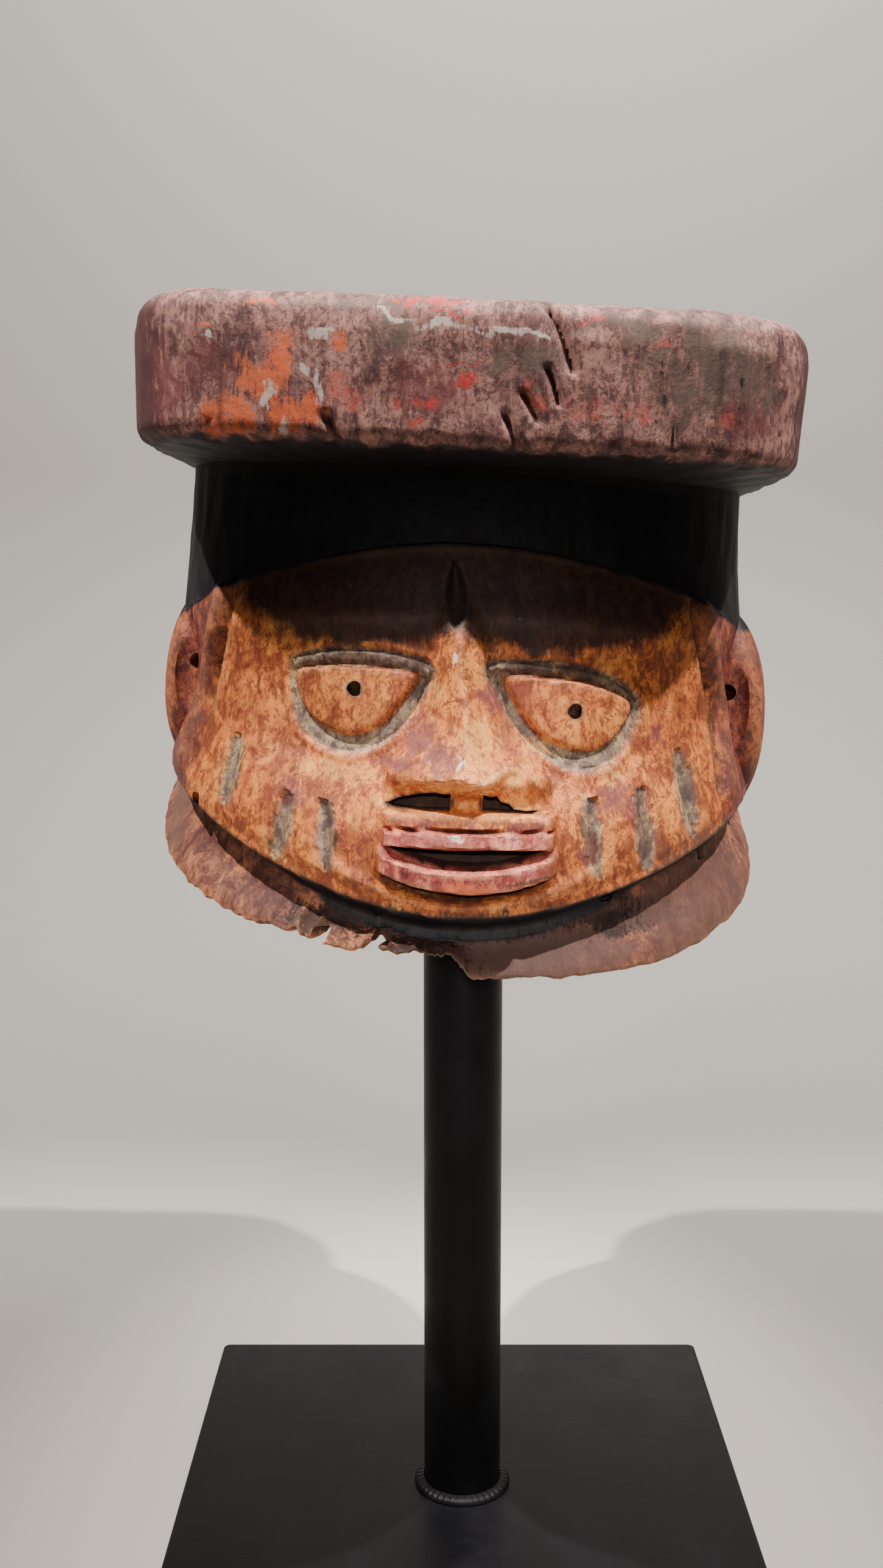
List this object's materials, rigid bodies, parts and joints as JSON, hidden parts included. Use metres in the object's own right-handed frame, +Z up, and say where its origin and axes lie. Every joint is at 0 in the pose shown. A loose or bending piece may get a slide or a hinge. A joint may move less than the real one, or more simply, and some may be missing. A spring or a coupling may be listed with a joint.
{
  "type": "carved helmet mask on a stand",
  "caption": "Carved wooden helmet mask with a thick flat slab on its head, pierced eyes and a flared collar, hollow below, resting on a round steel post with a square plate.",
  "frame": {"origin": "centre of the base plate's underside, on the surface that it stands on", "axes": "+Z up, -Y the way the face looks, +X to the viewer's right"},
  "size_m": [0.2218, 0.2471, 0.4501],
  "materials": {
    "carved_wood": "worn paint over carved wood",
    "black_steel": "satin black paint"
  },
  "bodies": {
    "root": {"mask": "carved_wood", "post": "black_steel", "base_plate": "black_steel", "weld_bead": "black_steel"}
  },
  "joints": []
}
